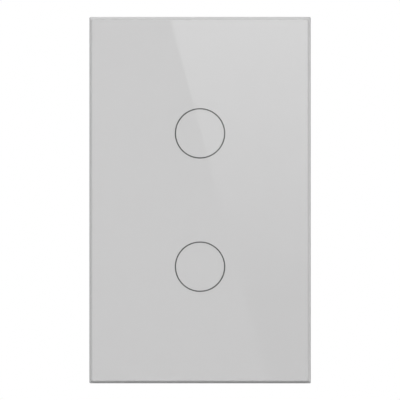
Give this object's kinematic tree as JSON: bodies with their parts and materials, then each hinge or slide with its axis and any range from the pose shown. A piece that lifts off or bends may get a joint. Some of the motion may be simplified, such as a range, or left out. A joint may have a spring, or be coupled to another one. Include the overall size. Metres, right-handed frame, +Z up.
{
  "type": "touch light switch",
  "caption": "Upright glass-fronted touch light switch with ring-marked touch zones, on a steel strap with a rear electronics housing and screw terminals.",
  "frame": {"origin": "midway between the two wall screws, on the wall plane: the back of the strap and of the panel's rim", "axes": "+X to the right seen from the front, +Y into the wall, +Z up"},
  "size_m": [0.0724, 0.0375, 0.12],
  "materials": {
    "glass": "clear tempered glass, polished, ground edge",
    "panel_ink": "light grey ceramic ink fired on the back of the glass",
    "ring_ink": "mid grey printed line",
    "foam_tape": "double-sided acrylic foam tape, black",
    "frame_plastic": "moulded grey PC/ABS, fine texture",
    "cover_plastic": "moulded white flame-retardant PC",
    "light_guide": "frosted polycarbonate",
    "spring_steel": "nickel-plated spring wire",
    "touch_board": "green solder mask on glass-fibre laminate",
    "chip_black": "black moulded epoxy",
    "led_resin": "clear resin on a white base",
    "insulation": "insulating fibre sheet",
    "header_plastic": "black glass-filled nylon",
    "gold_pin": "gold-flashed brass",
    "radio_board": "blue solder mask on laminate",
    "tin_plate": "tinned steel",
    "strap_steel": "zinc-plated steel sheet, stamped",
    "screw_zinc": "bright zinc-plated steel",
    "earth_green": "green passivated steel",
    "housing_plastic": "black flame-retardant PC, sparked texture",
    "label_foil": "bare silver polyester label",
    "power_board": "green solder mask on glass-fibre laminate",
    "relay_case": "blue moulded PBT",
    "relay_base": "black moulded PBT",
    "coil_copper": "enamelled copper wire",
    "relay_iron": "nickel-plated soft iron",
    "contact_metal": "bronze strip with silver contact",
    "ferrite": "sintered ferrite, dark grey",
    "bobbin_plastic": "black phenolic",
    "winding_tape": "yellow polyester tape over the winding",
    "capacitor_sleeve": "aluminium can in a dark sleeve",
    "film_yellow": "yellow moulded box",
    "fuse_plastic": "brown moulded box",
    "varistor_blue": "blue epoxy coat on a ceramic disc",
    "terminal_plastic": "green moulded nylon",
    "busbar_brass": "bare brass",
    "cage_steel": "zinc-plated steel"
  },
  "bodies": {
    "base": {"front_cover": "cover_plastic", "light_guides": "light_guide", "touch_spring_1": "spring_steel", "touch_spring_2": "spring_steel", "touch_board": "touch_board", "touch_chip": "chip_black", "indicator_leds": "led_resin", "insulation_sheet": "insulation", "header_strip": "header_plastic", "socket_strip": "header_plastic", "header_pins": "gold_pin", "radio_board": "radio_board", "radio_shield": "tin_plate", "mounting_strap": "strap_steel", "wall_screws": "screw_zinc", "earth_screw": "earth_green", "rear_housing": "housing_plastic", "rear_label": "label_foil", "housing_screws": "screw_zinc", "power_board": "power_board", "transformer_core": "ferrite", "transformer_bobbin": "bobbin_plastic", "transformer_winding": "winding_tape", "input_capacitor": "capacitor_sleeve", "output_capacitor": "capacitor_sleeve", "film_capacitor": "film_yellow", "fuse": "fuse_plastic", "varistor": "varistor_blue", "choke": "ferrite", "rectifier": "chip_black", "power_chip": "chip_black", "terminal_body": "terminal_plastic", "terminal_busbars": "busbar_brass", "relay_1_case": "relay_case", "relay_1_base": "relay_base", "relay_1_coil": "coil_copper", "relay_1_yoke": "relay_iron", "relay_1_contact": "contact_metal", "relay_2_case": "relay_case", "relay_2_base": "relay_base", "relay_2_coil": "coil_copper", "relay_2_yoke": "relay_iron", "relay_2_contact": "contact_metal"},
    "panel": {"glass_panel": "glass", "back_print": "panel_ink", "ring_print": "ring_ink", "panel_tape": "foam_tape", "panel_frame": "frame_plastic"},
    "terminal_screw_1": {"terminal_screw_1": "screw_zinc"},
    "terminal_cage_1": {"terminal_cage_1": "cage_steel"},
    "terminal_screw_2": {"terminal_screw_2": "screw_zinc"},
    "terminal_cage_2": {"terminal_cage_2": "cage_steel"},
    "terminal_screw_3": {"terminal_screw_3": "screw_zinc"},
    "terminal_cage_3": {"terminal_cage_3": "cage_steel"},
    "terminal_screw_4": {"terminal_screw_4": "screw_zinc"},
    "terminal_cage_4": {"terminal_cage_4": "cage_steel"},
    "relay_1_armature": {"relay_1_armature": "relay_iron"},
    "relay_2_armature": {"relay_2_armature": "relay_iron"}
  },
  "joints": [
    {"name": "panel_pull", "type": "slide", "parent": "base", "child": "panel", "axis": [0, -1, 0], "range_m": [0, 0.03]},
    {"name": "terminal_screw_1_turn", "type": "hinge", "parent": "base", "child": "terminal_screw_1", "pos_m": [-0.01143, 0.0263, -0.026], "axis": [0, -1, 0], "range_deg": [0, 1874]},
    {"name": "terminal_cage_1_slide", "type": "slide", "parent": "base", "child": "terminal_cage_1", "axis": [0, 1, 0], "range_m": [0, 0.0026]},
    {"name": "terminal_screw_2_turn", "type": "hinge", "parent": "base", "child": "terminal_screw_2", "pos_m": [-0.00381, 0.0263, -0.026], "axis": [0, -1, 0], "range_deg": [0, 1874]},
    {"name": "terminal_cage_2_slide", "type": "slide", "parent": "base", "child": "terminal_cage_2", "axis": [0, 1, 0], "range_m": [0, 0.0026]},
    {"name": "terminal_screw_3_turn", "type": "hinge", "parent": "base", "child": "terminal_screw_3", "pos_m": [0.00381, 0.0263, -0.026], "axis": [0, -1, 0], "range_deg": [0, 1874]},
    {"name": "terminal_cage_3_slide", "type": "slide", "parent": "base", "child": "terminal_cage_3", "axis": [0, 1, 0], "range_m": [0, 0.0026]},
    {"name": "terminal_screw_4_turn", "type": "hinge", "parent": "base", "child": "terminal_screw_4", "pos_m": [0.01143, 0.0263, -0.026], "axis": [0, -1, 0], "range_deg": [0, 1874]},
    {"name": "terminal_cage_4_slide", "type": "slide", "parent": "base", "child": "terminal_cage_4", "axis": [0, 1, 0], "range_m": [0, 0.0026]},
    {"name": "relay_1_armature_tilt", "type": "hinge", "parent": "base", "child": "relay_1_armature", "pos_m": [-0.0143, 0.016, 0.0003], "axis": [-1, 0, 0], "range_deg": [0, 3], "stiffness_Nm_per_rad": 0.03, "springref_deg": -4.58},
    {"name": "relay_2_armature_tilt", "type": "hinge", "parent": "base", "child": "relay_2_armature", "pos_m": [-0.0036, 0.016, 0.0003], "axis": [-1, 0, 0], "range_deg": [0, 3], "stiffness_Nm_per_rad": 0.03, "springref_deg": -4.58}
  ],
  "couplings": [
    {"joint": "terminal_screw_1_turn", "follows": "terminal_cage_1_slide", "rad_per_m": 12566},
    {"joint": "terminal_screw_2_turn", "follows": "terminal_cage_2_slide", "rad_per_m": 12566},
    {"joint": "terminal_screw_3_turn", "follows": "terminal_cage_3_slide", "rad_per_m": 12566},
    {"joint": "terminal_screw_4_turn", "follows": "terminal_cage_4_slide", "rad_per_m": 12566}
  ]
}
